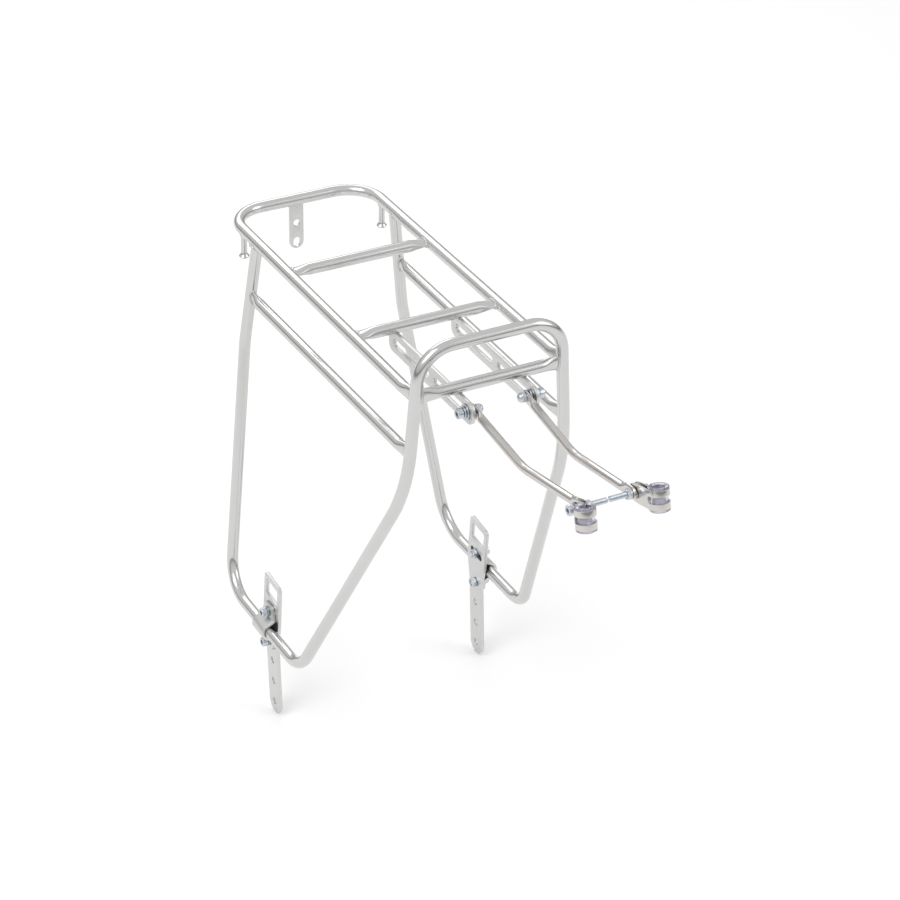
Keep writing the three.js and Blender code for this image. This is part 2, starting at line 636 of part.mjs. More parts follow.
const SADDLE_THICK = 2.5;
const SADDLE_WIDTH = 21;
const SADDLE_HALF_HEIGHT = 22.5;
const SADDLE_INNER_X = PLATE_INNER_X + PLATE_THICK + GAP;
const BOLT_Y = onPlate(-SADDLE_BOLT_OFFSET, 0)[0];
function saddleClamp() {
  const innerR = TUBE_R + 0.4;
  const outerR = innerR + SADDLE_THICK;
  const flank = Math.PI / 3;
  const slope = [Math.sin(flank), Math.cos(flank)];
  const rise = (r, x) => {
    const onArc = [HEEL[X] + r * Math.cos(flank), r * Math.sin(flank)];
    return onArc[1] + ((onArc[0] - x) / slope[0]) * slope[1];
  };
  const flangeX = SADDLE_INNER_X + SADDLE_THICK;
  const shape = new THREE.Shape();
  const arc = (r, from, to) => {
    for (let i = 0; i <= 10; i++) {
      const angle = from + ((to - from) * i) / 10;
      shape.lineTo(HEEL[X] + r * Math.cos(angle), r * Math.sin(angle));
    }
  };
  shape.moveTo(SADDLE_INNER_X, SADDLE_HALF_HEIGHT);
  shape.lineTo(SADDLE_INNER_X, rise(innerR, SADDLE_INNER_X));
  arc(innerR, flank, -flank);
  shape.lineTo(SADDLE_INNER_X, -rise(innerR, SADDLE_INNER_X));
  shape.lineTo(SADDLE_INNER_X, -SADDLE_HALF_HEIGHT);
  shape.lineTo(flangeX, -SADDLE_HALF_HEIGHT);
  shape.lineTo(flangeX, -rise(outerR, flangeX));
  arc(outerR, -flank, flank);
  shape.lineTo(flangeX, rise(outerR, flangeX));
  shape.lineTo(flangeX, SADDLE_HALF_HEIGHT);
  shape.closePath();
  const pressing = new THREE.ExtrudeGeometry(shape, { depth: SADDLE_WIDTH, bevelEnabled: false });
  pressing.rotateX(Math.PI / 2).translate(0, BOLT_Y + SADDLE_WIDTH / 2, HEEL[Z]);
  const w = SADDLE_WIDTH / 2;
  const h = SADDLE_HALF_HEIGHT;
  const face = plateYZ(roundedShape([
    { at: [BOLT_Y - w, HEEL[Z] - h], radius: 6 },
    { at: [BOLT_Y + w, HEEL[Z] - h], radius: 6 },
    { at: [BOLT_Y + w, HEEL[Z] + h], radius: 6 },
    { at: [BOLT_Y - w, HEEL[Z] + h], radius: 6 },
  ]), PLATE_INNER_X, 40);
  const hole = (sign) => straight(
    [90, BOLT_Y, HEEL[Z] + sign * SADDLE_BOLT_OFFSET],
    [120, BOLT_Y, HEEL[Z] + sign * SADDLE_BOLT_OFFSET], 2.8, 16);
  return cut(common(pressing, face), hole(-1), hole(1));
}

// ---- assembly ----------------------------------------------------------------------------
const group = new THREE.Group();
const deck = new THREE.Group();
deck.position.set(0, -ORIGIN_Y, -ORIGIN_Z);
group.add(deck);

function add(name, geometry, material, position = [0, 0, 0], rotation = [0, 0, 0]) {
  const mesh = new THREE.Mesh(geometry, material());
  mesh.name = name;
  mesh.position.set(...position);
  mesh.rotation.set(...rotation);
  deck.add(mesh);
}

add("platform_loop", platformLoop(), FINISH.tube);
add("leg_hoop_tube", legHoopTube(), FINISH.tube);
add("rear_crossbar", deckCrossbar(REAR_CROSSBAR_Y), FINISH.tube);
add("middle_crossbar", deckCrossbar(MIDDLE_CROSSBAR_Y), FINISH.tube);
add("front_crossbar", frontCrossbar(), FINISH.tube);
add("light_bracket", lightBracket(), FINISH.plate);

const M5 = { shankR: 2.4, headR: 4.2, headHeight: 4.8, keyR: 2.2, keyDepth: 2.6 };
const slotFace = SLOT_PLATE_X + SLOT_PLATE_THICK / 2;
const saddleFace = SADDLE_INNER_X + SADDLE_THICK;

for (const [name, side] of [["right", -1], ["left", 1]]) {
  const sided = (geometry) => (side < 0 ? mirrored(geometry) : geometry);
  // Places a fastener that points outward from the bicycle's middle plane.
  const fasten = (part, geometry, x, y, z) => {
    const turn = side < 0 ? Math.PI : 0;
    add(`${name}_${part}`, geometry, FINISH.zinc, [side * x, y, z], [0, 0, turn]);
  };

  add(`${name}_lower_rail`, sided(lowerRail()), FINISH.tube);
  add(`${name}_slotted_plate`, sided(slottedPlate()), FINISH.plate);
  add(`${name}_peg`, sided(peg()), FINISH.tube);

  fasten("slot_washer", washer(2.7, 6.4, 1.2), slotFace + GAP, SLOT_BOLT_Y, SLOT_Z);
  fasten("slot_lock_washer", washer(2.7, 4.6, 1.5), slotFace + 1.8, SLOT_BOLT_Y, SLOT_Z);
  fasten("slot_bolt", capBolt({ ...M5, length: 14 }), slotFace + 3.6, SLOT_BOLT_Y, SLOT_Z);
  fasten("slot_inner_washer", washer(2.7, 5.2, 1.4), 24.75, SLOT_BOLT_Y, SLOT_Z);
  add(`${name}_slot_dome_nut`, domeNut(2.7, 8, 3.4, 3.7, 6.2), FINISH.zinc,
    [side * 21.3, SLOT_BOLT_Y, SLOT_Z], [0, 0, side < 0 ? 0 : Math.PI]);

  add(`${name}_stay`, sided(stay()), FINISH.stay);

  const [boltY, boltZ] = CLAMP_BOLT;
  const loopY = boltY - CLAMP_ARM * Math.cos(CLAMP_TILT);
  const loopZ = boltZ + CLAMP_ARM * Math.sin(CLAMP_TILT);
  const clampPlace = [side * CLAMP_LOOP_X, loopY, loopZ];
  add(`${name}_clamp_band`, sided(clampBand()), FINISH.stay, clampPlace, [-CLAMP_TILT, 0, 0]);
  add(`${name}_clamp_sleeve`, sided(clampSleeve()), FINISH.vinyl, clampPlace,
    [-CLAMP_TILT, 0, 0]);
  fasten("clamp_washer", washer(2.7, 4.9, 1), 27.6, boltY, boltZ);
  fasten("clamp_bolt", capBolt({ ...M5, length: 28 }), 28.9, boltY, boltZ);
  fasten("clamp_nut", hexNut(2.7, 8, 4), 15.1, boltY, boltZ);

  add(`${name}_dropout_plate`, sided(dropoutPlate()), FINISH.plate);
  add(`${name}_saddle_clamp`, sided(saddleClamp()), FINISH.plate);
  for (const [level, sign, length] of [["upper", 1, 12.2], ["lower", -1, 11]]) {
    const z = HEEL[Z] + sign * SADDLE_BOLT_OFFSET;
    fasten(`${level}_saddle_washer`, washer(2.7, 4.5, 1), saddleFace + GAP, BOLT_Y, z);
    fasten(`${level}_saddle_bolt`, capBolt({ ...M5, length }), saddleFace + 1.6, BOLT_Y, z);
    fasten(`${level}_saddle_nut`, hexNut(2.7, 8, 4), PLATE_INNER_X - GAP - 4, BOLT_Y, z);
  }
}

export default group;
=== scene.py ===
import math

import bmesh
import bpy
from mathutils import Matrix, Vector


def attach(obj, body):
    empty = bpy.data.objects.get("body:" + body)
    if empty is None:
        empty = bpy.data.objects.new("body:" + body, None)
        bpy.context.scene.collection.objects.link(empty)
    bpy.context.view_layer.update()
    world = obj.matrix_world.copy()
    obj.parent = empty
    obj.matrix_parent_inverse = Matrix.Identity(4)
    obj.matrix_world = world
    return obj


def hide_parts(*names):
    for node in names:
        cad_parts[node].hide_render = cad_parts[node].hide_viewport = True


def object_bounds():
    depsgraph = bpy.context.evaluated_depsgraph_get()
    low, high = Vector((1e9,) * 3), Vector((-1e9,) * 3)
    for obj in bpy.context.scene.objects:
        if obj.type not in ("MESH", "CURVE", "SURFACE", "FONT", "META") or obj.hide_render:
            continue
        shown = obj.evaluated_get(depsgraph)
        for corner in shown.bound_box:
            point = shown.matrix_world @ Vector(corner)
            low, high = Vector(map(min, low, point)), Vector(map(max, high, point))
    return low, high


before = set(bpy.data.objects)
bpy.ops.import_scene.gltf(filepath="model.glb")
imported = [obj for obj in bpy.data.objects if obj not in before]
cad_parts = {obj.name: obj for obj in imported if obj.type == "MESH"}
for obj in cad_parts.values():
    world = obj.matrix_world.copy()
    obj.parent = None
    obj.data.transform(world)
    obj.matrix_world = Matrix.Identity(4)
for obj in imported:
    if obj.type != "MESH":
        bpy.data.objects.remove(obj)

cad_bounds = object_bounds()

# ---- driving dimensions, in millimetres --------------------------------------------------
TUBE_R = 5
RAIL_X = 65
DECK_REAR_Y = 347
DECK_CORNER_R = 31
REAR_CROSSBAR_Y = 226
MIDDLE_CROSSBAR_Y = 106
LOWER_RAIL_Z = -50.5

LEG_TOP = Vector((64, 288, 0))
REAR_KNEE = Vector((75, 294, -94))
HEEL = Vector((107, 265, -317))
TOE = Vector((107, 123, -317))
FRONT_KNEE = Vector((70, 2, -82))
HOOP_CORNER = Vector((61.5, 0, 39))
REAR_KNEE_R = 60
HEEL_R = 35
TOE_R = 32
FRONT_KNEE_R = 150
HOOP_CORNER_R = 30

PEG_Y = 314
PEG_R = 2.6
PEG_BOTTOM_Z = -25.5
BRACKET_HALF_WIDTH = 6.5
BRACKET_THICK = 2.5
BRACKET_BOTTOM_Z = -47.5
BRACKET_HOLE_Z = -23
BRACKET_HOLE_R = 3
BRACKET_SLOT_Z = (-42.7, -40.3)
BRACKET_SLOT_R = 3.2

SLOT_PLATE_X = 28
SLOT_PLATE_THICK = 3
SLOT_PLATE_FRONT_Y = -26.5
SLOT_PLATE_REAR_Y = 114
SLOT_PLATE_TOP_Z = -3
SLOT_PLATE_BOTTOM_Z = -22
SLOT_R = 3.5
SLOT_WEB_Y = 41
SEAM_Y = (0.4, MIDDLE_CROSSBAR_Y)

SLOT_BOLT = (-16.4, -12.5)
STAY_BEND = (-92, -23)
STAY_BEND_R = 60
CLAMP_BOLT = (-177.8, -8.8)
STAY_R = 3.5
STAY_REAR_X = 23
STAY_FRONT_X = 20.8
STAY_FLAT_THICK = 2.8
STAY_FLAT_R = 5.3

CLAMP_LOOP_X = 30.6
CLAMP_ARM = 21
CLAMP_TILT = math.radians(13)
BAND_INNER_R = 7
BAND_THICK = 1.1
BAND_HEIGHT = 15.4
CLAMP_NUT_X = 15.1
CLAMP_WASHER_X = 27.6
CLAMP_HEAD_X = 28.9

PLATE_INNER_X = 98.5
PLATE_THICK = 3
PLATE_KNEE_Y = 194
PLATE_UPPER_TILT = math.radians(6)
PLATE_LOWER_TILT = math.radians(4)
PLATE_UPPER_LENGTH = 48
SADDLE_BOLT_OFFSET = 15.3
EYELET_PITCH = 21
EYELET_COUNT = 4
EYELET_R = 3.1
BOLT_HOLE_R = 2.8

LOWEST_EYELET = SADDLE_BOLT_OFFSET + (EYELET_COUNT - 1) * EYELET_PITCH
ORIGIN = Vector((0, PLATE_KNEE_Y - LOWEST_EYELET * math.sin(PLATE_LOWER_TILT),
                 HEEL.z - LOWEST_EYELET * math.cos(PLATE_LOWER_TILT)))
SIDES = (("right", -1), ("left", 1))
MM = 0.001


# ---- materials ---------------------------------------------------------------------------
def new_material(name):
    material = bpy.data.materials.new(name)
    material.use_nodes = True
    tree = material.node_tree
    shader = next(node for node in tree.nodes if node.type == "BSDF_PRINCIPLED")
    return material, tree, shader


def noise(tree, scale, detail, stretch=(1, 1, 1)):
    """A cloudy 0 to 1 value that follows the piece."""
    coordinates = tree.nodes.new("ShaderNodeTexCoord")
    mapping = tree.nodes.new("ShaderNodeMapping")
    mapping.inputs["Scale"].default_value = stretch
    texture = tree.nodes.new("ShaderNodeTexNoise")
    texture.inputs["Scale"].default_value = scale
    texture.inputs["Detail"].default_value = detail
    tree.links.new(coordinates.outputs["Object"], mapping.inputs["Vector"])
    tree.links.new(mapping.outputs["Vector"], texture.inputs["Vector"])
    return texture.outputs["Fac"]


def ramp(tree, value, low, high):
    """Maps the middle of a 0 to 1 value onto the range low to high."""
    node = tree.nodes.new("ShaderNodeMapRange")
    node.inputs["From Min"].default_value = 0.3
    node.inputs["From Max"].default_value = 0.7
    node.inputs["To Min"].default_value = low
    node.inputs["To Max"].default_value = high
    tree.links.new(value, node.inputs["Value"])
    return node.outputs["Result"]


def tinted(tree, value, first, second):
    """Mixes two colours by a 0 to 1 value."""
    mix = tree.nodes.new("ShaderNodeMix")
    mix.data_type = "RGBA"
    mix.inputs["A"].default_value = (*first, 1)
    mix.inputs["B"].default_value = (*second, 1)
    tree.links.new(value, mix.inputs["Factor"])
    return mix.outputs["Result"]


def metal(name, colour, shade, roughness, grain_scale, bump, stretch=(1, 1, 1)):
    """A metal whose colour runs between colour and shade and whose polish varies a little."""
    material, tree, shader = new_material(name)
    shader.inputs["Metallic"].default_value = 1
    broad = noise(tree, scale=45, detail=3)
    grain = noise(tree, grain_scale, detail=6, stretch=stretch)
    tree.links.new(tinted(tree, broad, colour, shade), shader.inputs["Base Color"])
    tree.links.new(ramp(tree, grain, roughness[0], roughness[1]), shader.inputs["Roughness"])
    relief = tree.nodes.new("ShaderNodeBump")
    relief.inputs["Strength"].default_value = bump
    relief.inputs["Distance"].default_value = 0.0001
    tree.links.new(grain, relief.inputs["Height"])
    tree.links.new(relief.outputs["Normal"], shader.inputs["Normal"])
    return material


def vinyl(name):
    """A clear, faintly violet plastic."""
    material, tree, shader = new_material(name)
    cloud = noise(tree, scale=120, detail=2)
    tree.links.new(tinted(tree, cloud, (0.88, 0.87, 0.95), (0.82, 0.81, 0.91)),
                   shader.inputs["Base Color"])
    tree.links.new(ramp(tree, cloud, low=0.08, high=0.16), shader.inputs["Roughness"])
    shader.inputs["Transmission Weight"].default_value = 0.85
    shader.inputs["IOR"].default_value = 1.45
    return material


MATERIALS = {
    "polished_tube": metal("polished tube", (0.62, 0.62, 0.612), (0.575, 0.575, 0.57),
                           (0.15, 0.22), 900, 0.05),
    "satin_plate": metal("satin plate", (0.66, 0.66, 0.65), (0.60, 0.60, 0.595),
                         (0.32, 0.42), 1600, 0.12),
    "stainless_stay": metal("stainless stay", (0.64, 0.62, 0.60), (0.56, 0.54, 0.52),
                            (0.14, 0.22), 1400, 0.06, (1, 0.08, 1)),
    "zinc_fastener": metal("zinc fastener", (0.60, 0.64, 0.68), (0.52, 0.56, 0.61),
                           (0.2, 0.32), 1800, 0.15),
    "weld": metal("weld bead", (0.66, 0.66, 0.65), (0.55, 0.54, 0.53), (0.3, 0.45), 1500, 0.3),
    "clear_vinyl": vinyl("clear vinyl"),
}


# ---- mesh helpers ------------------------------------------------------------------------
def to_object(name, bm, material, body, nodes=(), side=1, sharp=35):
    """Turns deck-frame millimetres into a piece in the row's frame that rides on a body."""
    bmesh.ops.recalc_face_normals(bm, faces=bm.faces)
    place = Matrix.Scale(MM, 4) @ Matrix.Translation(-ORIGIN) @ Matrix.Diagonal((side, 1, 1, 1))
    bm.transform(place)
    if side < 0:
        bmesh.ops.reverse_faces(bm, faces=bm.faces)
    label = name.replace(" ", "_") + "_visual"
    mesh = bpy.data.meshes.new(label)
    bm.to_mesh(mesh)
    bm.free()
    mesh.polygons.foreach_set("use_smooth", [True] * len(mesh.polygons))
    mesh.set_sharp_from_angle(angle=math.radians(sharp))
    mesh.materials.append(MATERIALS[material])
    piece = bpy.data.objects.new(label, mesh)
    bpy.context.scene.collection.objects.link(piece)
    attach(piece, body)
    if nodes:
        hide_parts(*nodes)
    return piece


def skin(bm, rings, closed=False):
    """Joins rings of vertices into a tube and caps its ends."""
    loops = [[bm.verts.new(point) for point in ring] for ring in rings]
    pairs = list(zip(loops, loops[1:]))
    if closed:
        pairs.append((loops[-1], loops[0]))
    for one, two in pairs:
        count = len(one)
        for i in range(count):
            j = (i + 1) % count
            bm.faces.new((one[i], one[j], two[j], two[i]))
    if not closed:
        bm.faces.new(list(reversed(loops[0])))
        bm.faces.new(loops[-1])
    return bm


def bent_path(corners, radii, arc_step=4, run_step=12):
    """Stations (point, tangent) along straight runs joined by arcs."""
    stations = []

    def run(start, end):
        length = (end - start).length
        steps = max(1, int(length / run_step))
        for i in range(steps + 1):
            stations.append((start.lerp(end, i / steps), (end - start).normalized()))

    start = corners[0]
    for before, corner, after, radius in zip(corners, corners[1:], corners[2:], radii):
        back = (before - corner).normalized()
        ahead = (after - corner).normalized()
        half = back.angle(ahead) / 2
        centre = corner + (back + ahead).normalized() * radius / math.sin(half)
        axis = (-back).cross(ahead).normalized()
        turn = math.pi - 2 * half
        spoke = corner + back * radius / math.tan(half) - centre
        run(start, centre + spoke)
        steps = max(2, math.ceil(math.degrees(turn) / arc_step))
        for i in range(1, steps):
            spin = Matrix.Rotation(turn * i / steps, 3, axis)
            stations.append((centre + spin @ spoke, spin @ -back))
        start = centre + Matrix.Rotation(turn, 3, axis) @ spoke
    run(start, corners[-1])
    return stations


def ring_about(centre, first, second, radius, count):
    """A circle of points about a centre, in the plane of two directions."""
    angles = (2 * math.pi * i / count for i in range(count))
    return [centre + radius * (first * math.cos(a) + second * math.sin(a)) for a in angles]


def sweep(stations, radius, segments=40):
    """Rings of a round section carried along the stations without twist."""
    tangent = stations[0][1]
    normal = tangent.orthogonal().normalized()
    rings = []
    for point, ahead in stations:
        normal = (tangent.rotation_difference(ahead) @ normal).normalized()
        tangent = ahead
        rings.append(ring_about(point, normal, ahead.cross(normal), radius, segments))
    return rings


def smoothstep(value, low, high):
    """Rises smoothly from 0 at low to 1 at high."""
    t = min(1, max(0, (value - low) / (high - low)))
    return t * t * (3 - 2 * t)


PINCH_START = 2
PINCH_LENGTH = 15
PINCH_THIN = 0.56
PINCH_WIDE = 1.28


def pinched(rings, along, thin, wide, low, high):
    """Squeezes the ends of a straight bar flat, as tube is pressed before it is welded."""
    shaped = []
    for ring in rings:
        middle = sum(ring, Vector()) / len(ring)
        inward = min(middle[along] - low, high - middle[along])
        squeeze = 1 - smoothstep(inward, PINCH_START, PINCH_LENGTH)
        thinner = 1 + (PINCH_THIN - 1) * squeeze
        wider = 1 + (PINCH_WIDE - 1) * squeeze
        new_ring = []
        for point in ring:
            moved = point.copy()
            moved[thin] = middle[thin] + (point - middle)[thin] * thinner
            moved[wide] = middle[wide] + (point - middle)[wide] * wider
            new_ring.append(moved)
        shaped.append(new_ring)
    return shaped


def at_height(low, high, z):
    """The point at height z on the line through two points."""
    return low.lerp(high, (z - low.z) / (high.z - low.z))


def other_side(point):
    """The same point on the rack's other side."""
    return Vector((-point.x, point.y, point.z))


# ---- welds -------------------------------------------------------------------------------
WELD_R = 1.1
WELD_STATIONS = 96
WELD_RIPPLES = 20
WELD_SHARP = 80


def weld_bead(name, end, direction, thin_axis, main_direction, main_r=TUBE_R,
              half_thin=TUBE_R * PINCH_THIN, half_wide=TUBE_R * PINCH_WIDE):
    """A rippled fillet round the foot of a bar where it meets a round tube.

    end is the bar's foot on the tube's axis, direction points out along the bar."""
    out = direction.normalized()
    thin = thin_axis.normalized()
    wide = out.cross(thin).normalized()
    tube = main_direction.normalized()
    stations = []
    count = WELD_STATIONS
    for i in range(count):
        angle = 2 * math.pi * i / count
        flat = end + thin * half_thin * math.cos(angle) + wide * half_wide * math.sin(angle)
        offset = (flat - end) - tube * (flat - end).dot(tube)
        sideways = (offset - out * offset.dot(out)).length
        rise = math.sqrt(max(0.5, main_r ** 2 - min(sideways, main_r) ** 2))
        stations.append(flat + out * (rise + 0.2))
    rings = []
    for i, point in enumerate(stations):
        ahead = (stations[(i + 1) % count] - stations[i - 1]).normalized()
        outward = (point - end - out * (point - end).dot(out)).normalized()
        up = ahead.cross(outward).normalized()
        radius = WELD_R * (1 + 0.1 * math.sin(i * 2 * math.pi * WELD_RIPPLES / count))
        rings.append(ring_about(point, outward, up, radius, 12))
    to_object(name, skin(bmesh.new(), rings, closed=True), "weld", "rack_frame",
              sharp=WELD_SHARP)


# ---- the welded frame --------------------------------------------------------------------
X_AXIS = Vector((1, 0, 0))
Y_AXIS = Vector((0, 1, 0))
Z_AXIS = Vector((0, 0, 1))
INTO_TUBE = 2.5


def tube(name, rings, node):
    return to_object(name, skin(bmesh.new(), rings), "polished_tube", "rack_frame", [node])


def leg_hoop():
    """The one tube that makes both pairs of legs and the upright front hoop."""
    corners = [LEG_TOP, REAR_KNEE, HEEL, TOE, FRONT_KNEE, HOOP_CORNER]
    radii = [REAR_KNEE_R, HEEL_R, TOE_R, FRONT_KNEE_R, HOOP_CORNER_R]
    path = bent_path([other_side(p) for p in corners] + corners[::-1], radii + radii[::-1])
    tube("leg and hoop", sweep(path, TUBE_R, 48), "leg_hoop_tube")


def platform():
    """The deck's outer tube, bent round the rear end and pinched where it meets the legs."""
    front = at_height(FRONT_KNEE, HOOP_CORNER, 0).y + INTO_TUBE
    corners = [Vector((-RAIL_X, front, 0)), Vector((-RAIL_X, DECK_REAR_Y, 0)),
               Vector((RAIL_X, DECK_REAR_Y, 0)), Vector((RAIL_X, front, 0))]
    path = bent_path(corners, [DECK_CORNER_R, DECK_CORNER_R], run_step=3)
    rings = sweep(path, TUBE_R, 48)
    low = front - INTO_TUBE + TUBE_R
    no_far_end = 10000
    tube("platform", pinched(rings, 1, 0, 2, low, no_far_end), "platform_loop")


def crossbar(name, start, end, along, thin, wide, node):
    """A straight bar pinched at both ends. along, thin and wide are axis numbers."""
    rings = sweep(bent_path([start, end], [], run_step=2), TUBE_R, 40)
    low = min(start[along], end[along]) + TUBE_R - INTO_TUBE
    high = max(start[along], end[along]) - TUBE_R + INTO_TUBE
    tube(name, pinched(rings, along, thin, wide, low, high), node)


def build_frame():
    leg_hoop()
    platform()
    for name, y in (("rear", REAR_CROSSBAR_Y), ("middle", MIDDLE_CROSSBAR_Y)):
        reach = RAIL_X - INTO_TUBE
        crossbar(f"{name} crossbar", Vector((-reach, y, 0)), Vector((reach, y, 0)), 0, 2, 1,
                 f"{name}_crossbar")
        for side_name, side in SIDES:
            weld_bead(f"{side_name} {name} crossbar weld", Vector((side * RAIL_X, y, 0)),
                      X_AXIS * -side, Z_AXIS, Y_AXIS)
    deck_front = at_height(FRONT_KNEE, HOOP_CORNER, 0)
    inner = Vector((deck_front.x - INTO_TUBE, deck_front.y, 0))
    crossbar("front crossbar", other_side(inner), inner, 0, 1, 2, "front_crossbar")
    rear = at_height(LEG_TOP, REAR_KNEE, LOWER_RAIL_Z)
    front = at_height(FRONT_KNEE, HOOP_CORNER, LOWER_RAIL_Z)
    for side_name, side in SIDES:
        flip = (lambda p: p) if side > 0 else other_side
        leg_run = flip(HOOP_CORNER) - flip(FRONT_KNEE)
        weld_bead(f"{side_name} front crossbar weld", flip(deck_front), X_AXIS * -side, Y_AXIS,
                  leg_run)
        weld_bead(f"{side_name} rail front weld", flip(deck_front), Y_AXIS, X_AXIS, leg_run)
        step = (rear - front).normalized() * INTO_TUBE
        crossbar(f"{side_name} lower rail", flip(front + step), flip(rear - step), 1, 0, 2,
                 f"{side_name}_lower_rail")
        weld_bead(f"{side_name} lower rail front weld", flip(front), flip(rear - front), X_AXIS,
                  leg_run)
        weld_bead(f"{side_name} lower rail rear weld", flip(rear), flip(front - rear), X_AXIS,
                  flip(REAR_KNEE) - flip(LEG_TOP))
        weld_bead(f"{side_name} leg top weld", Vector((side * RAIL_X, LEG_TOP.y, 0)),
                  flip(REAR_KNEE) - flip(LEG_TOP), X_AXIS, Y_AXIS, half_thin=4.9, half_wide=5)
        build_peg(side_name, side)
        build_slotted_plate(side_name, side)
    build_bracket()


# ---- plates ------------------------------------------------------------------------------
CORNER_STEPS = 10
EDGE = 0.35
THROUGH = 40


def rounded(corners):
    """Points of an outline whose corners, given as (a, b, radius), are rounded."""
    points = []
    count = len(corners)
    for i, (a, b, radius) in enumerate(corners):
        corner = Vector((a, b))
        back = (Vector(corners[i - 1][:2]) - corner).normalized()
        ahead = (Vector(corners[(i + 1) % count][:2]) - corner).normalized()
        if radius == 0:
            points.append(corner)
            continue
        start = corner + back * radius
        end = corner + ahead * radius
        for k in range(CORNER_STEPS + 1):
            t = k / CORNER_STEPS
            points.append(start * (1 - t) ** 2 + corner * 2 * t * (1 - t) + end * t ** 2)
    return points


def arc(centre, radius, start, end, steps=24):
    """Points of an arc from one angle to another."""
    angles = (start + (end - start) * i / steps for i in range(steps + 1))
    return [Vector(centre) + radius * Vector((math.cos(a), math.sin(a))) for a in angles]


def slot_outline(start, end, radius):
    """A long hole with round ends about two centres."""
    start, end = Vector(start), Vector(end)
    lean = math.atan2(end.y - start.y, end.x - start.x)
    quarter = math.pi / 2
    return arc(end, radius, lean - quarter, lean + quarter) + \
        arc(start, radius, lean + quarter, lean + 3 * quarter)


def circle(centre, radius, steps=40):
    return arc(centre, radius, 0, 2 * math.pi, steps)[:-1]


def plate(outline, holes, thickness, edge=EDGE):
    """A flat plate with holes, its edges softened, centred on z = 0, as a bmesh."""
    curve = bpy.data.curves.new("outline", "CURVE")
    curve.dimensions = "2D"
    curve.fill_mode = "BOTH"
    curve.extrude = thickness / 2 - edge
    curve.bevel_depth = edge
    curve.bevel_resolution = 2
    curve.offset = -edge
    for points in [outline, *holes]:
        spline = curve.splines.new("POLY")
        spline.points.add(len(points) - 1)
        spline.use_cyclic_u = True
        for spot, point in zip(spline.points, points):
            spot.co = (point.x, point.y, 0, 1)
    temporary = bpy.data.objects.new("outline", curve)
    bpy.context.scene.collection.objects.link(temporary)
    graph = bpy.context.evaluated_depsgraph_get()
    mesh = bpy.data.meshes.new_from_object(temporary.evaluated_get(graph))
    bm = bmesh.new()
    bm.from_mesh(mesh)
    bmesh.ops.remove_doubles(bm, verts=bm.verts, dist=0.002)
    bpy.data.objects.remove(temporary)
    bpy.data.meshes.remove(mesh)
    bpy.data.curves.remove(curve)
    return bm


def facing_x(bm, x):
    """Turns a plate drawn in (a, b) into one drawn in (y, z) at a distance x."""
    bm.transform(Matrix(((0, 0, 1, x), (1, 0, 0, 0), (0, 1, 0, 0), (0, 0, 0, 1))))
    return bm


def build_slotted_plate(name, side):
    """The plate on edge under two crossbars, with the two slots a stay's bolt can sit in."""
    z = SLOT_BOLT[1]
    margin = 8 + SLOT_R
    web = 4 + SLOT_R
    front_corner = 9.4
    outline = rounded([
        (SLOT_PLATE_FRONT_Y, SLOT_PLATE_BOTTOM_Z, front_corner),
        (SLOT_PLATE_REAR_Y, SLOT_PLATE_BOTTOM_Z, 8),
        (SLOT_PLATE_REAR_Y, SLOT_PLATE_TOP_Z, 3),
        (SLOT_PLATE_FRONT_Y, SLOT_PLATE_TOP_Z, front_corner)])
    holes = [
        slot_outline((SLOT_BOLT[0] - 0.1, z), (SLOT_WEB_Y - web, z), SLOT_R),
        slot_outline((SLOT_WEB_Y + web, z), (SLOT_PLATE_REAR_Y - margin, z), SLOT_R)]
    bm = facing_x(plate(outline, holes, SLOT_PLATE_THICK), SLOT_PLATE_X)
    to_object(f"{name} slotted plate", bm, "satin_plate", "rack_frame",
              [f"{name}_slotted_plate"], side)
    for y in SEAM_Y:
        for face in (-1, 1):
            build_seam(f"{name} plate seam {y:.0f} {face}", side, y, face)


def build_seam(name, side, y, face):
    """The short weld along one face of a slotted plate, under a crossbar."""
    x = SLOT_PLATE_X + face * (SLOT_PLATE_THICK / 2 + 0.1)
    start, turn, steps = 212, 116, 32
    bead_r = 0.9
    rings = []
    for i in range(steps + 1):
        angle = math.radians(start + turn * i / steps)
        spoke = Vector((0, math.cos(angle), math.sin(angle)))
        centre = Vector((x, y, 0)) + spoke * TUBE_R
        fade = math.sqrt(max(0.05, 1 - abs(2 * i / steps - 1) ** 4))
        ripple = 1 + 0.08 * math.sin(i * 2.2)
        radius = bead_r * fade * ripple
        rings.append(ring_about(centre, spoke, X_AXIS, radius, 10))
    to_object(name, skin(bmesh.new(), rings), "weld", "rack_frame", side=side,
              sharp=WELD_SHARP)


def build_bracket():
    """The tab under the deck's rear end, with a round hole above a short slot."""
    half = BRACKET_HALF_WIDTH
    top = -1
    low, high = BRACKET_SLOT_Z
    outline = [Vector((half, top)), Vector((-half, top))]
    outline += arc((0, BRACKET_BOTTOM_Z + half), half, math.pi, 2 * math.pi)
    holes = [circle((0, BRACKET_HOLE_Z), BRACKET_HOLE_R),
             slot_outline((0, low), (0, high), BRACKET_SLOT_R)]
    bm = plate(outline, holes, BRACKET_THICK)
    bm.transform(Matrix.Translation((0, DECK_REAR_Y + 2, 0)) @ Matrix.Rotation(math.pi / 2, 4, "X"))
    to_object("light bracket", bm, "satin_plate", "rack_frame", ["light_bracket"])


def lathe(profile, segments=48):
    """Rings of a turned piece about +X. Each profile entry is (x, radius); a radius may be a
    function of the angle."""
    rings = []
    for x, radius in profile:
        ring = []
        for i in range(segments):
            angle = 2 * math.pi * i / segments
            r = radius(angle) if callable(radius) else radius
            ring.append(Vector((x, r * math.cos(angle), r * math.sin(angle))))
        rings.append(ring)
    return rings


